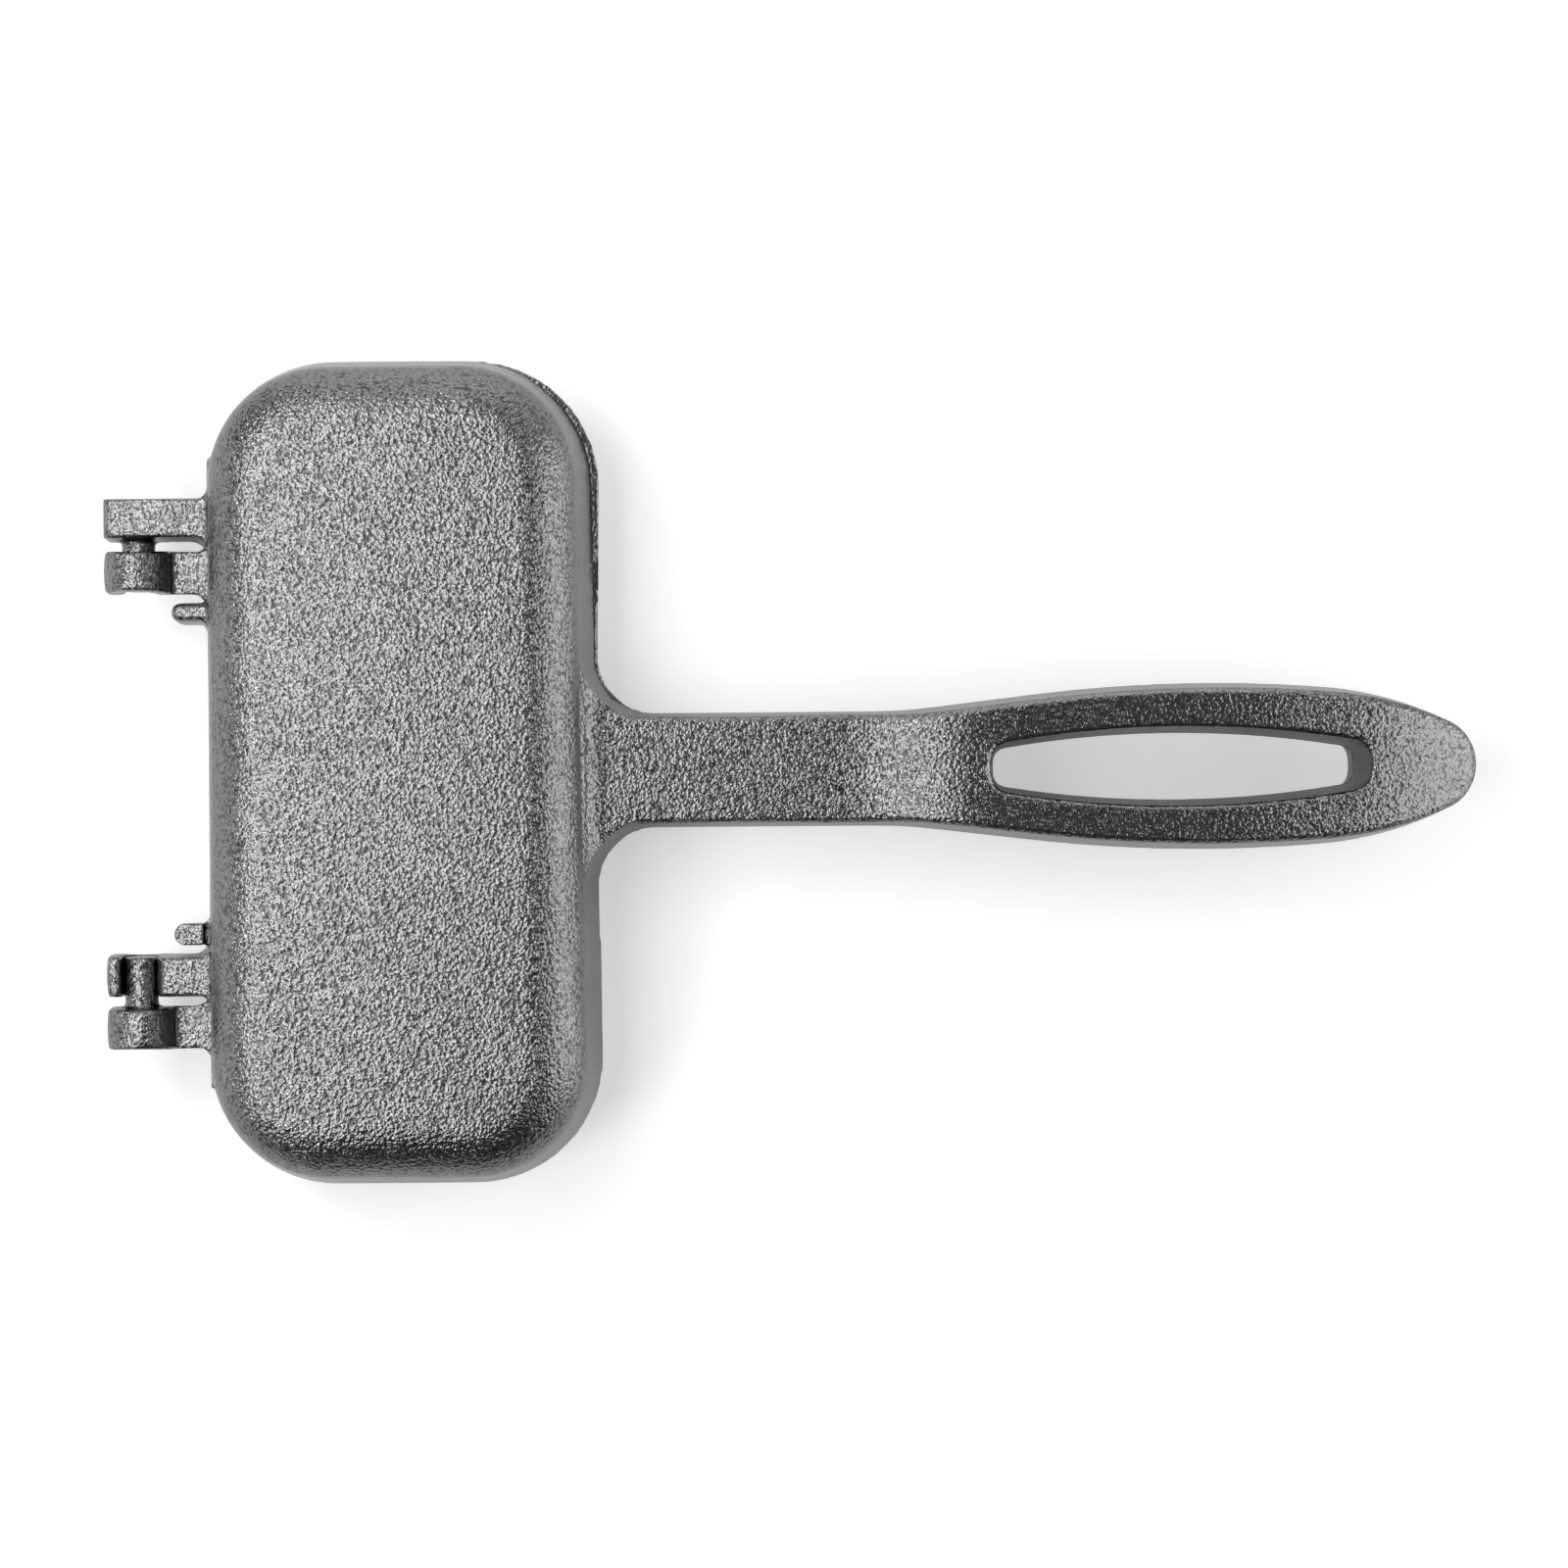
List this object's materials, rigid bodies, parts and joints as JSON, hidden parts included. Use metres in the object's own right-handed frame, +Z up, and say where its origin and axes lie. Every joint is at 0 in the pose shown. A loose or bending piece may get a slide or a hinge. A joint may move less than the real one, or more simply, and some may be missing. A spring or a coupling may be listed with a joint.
{
  "type": "cast iron sandwich iron",
  "caption": "Hinged cast iron sandwich iron: two long pillow-shaped pan halves with drafted walls, each with a flat handle cast on and a slotted grip.",
  "frame": {"origin": "middle of the lower half's flat plateau, on the surface that the closed iron rests on", "axes": "+X from the hinge to the tip of the handles, +Y across the pan along the hinge line, +Z up"},
  "size_m": [0.25, 0.1504, 0.036],
  "materials": {
    "seasoned_iron": "seasoned sand casting, dark grey, even coarse grain outside, dull sheen"
  },
  "bodies": {
    "lower": {"lower_half": "seasoned_iron"},
    "upper": {"upper_half": "seasoned_iron"}
  },
  "joints": [
    {"name": "hinge", "type": "hinge", "parent": "lower", "child": "upper", "pos_m": [-0.0476, 0, 0.018], "axis": [0, -1, 0], "range_deg": [0, 180]}
  ]
}
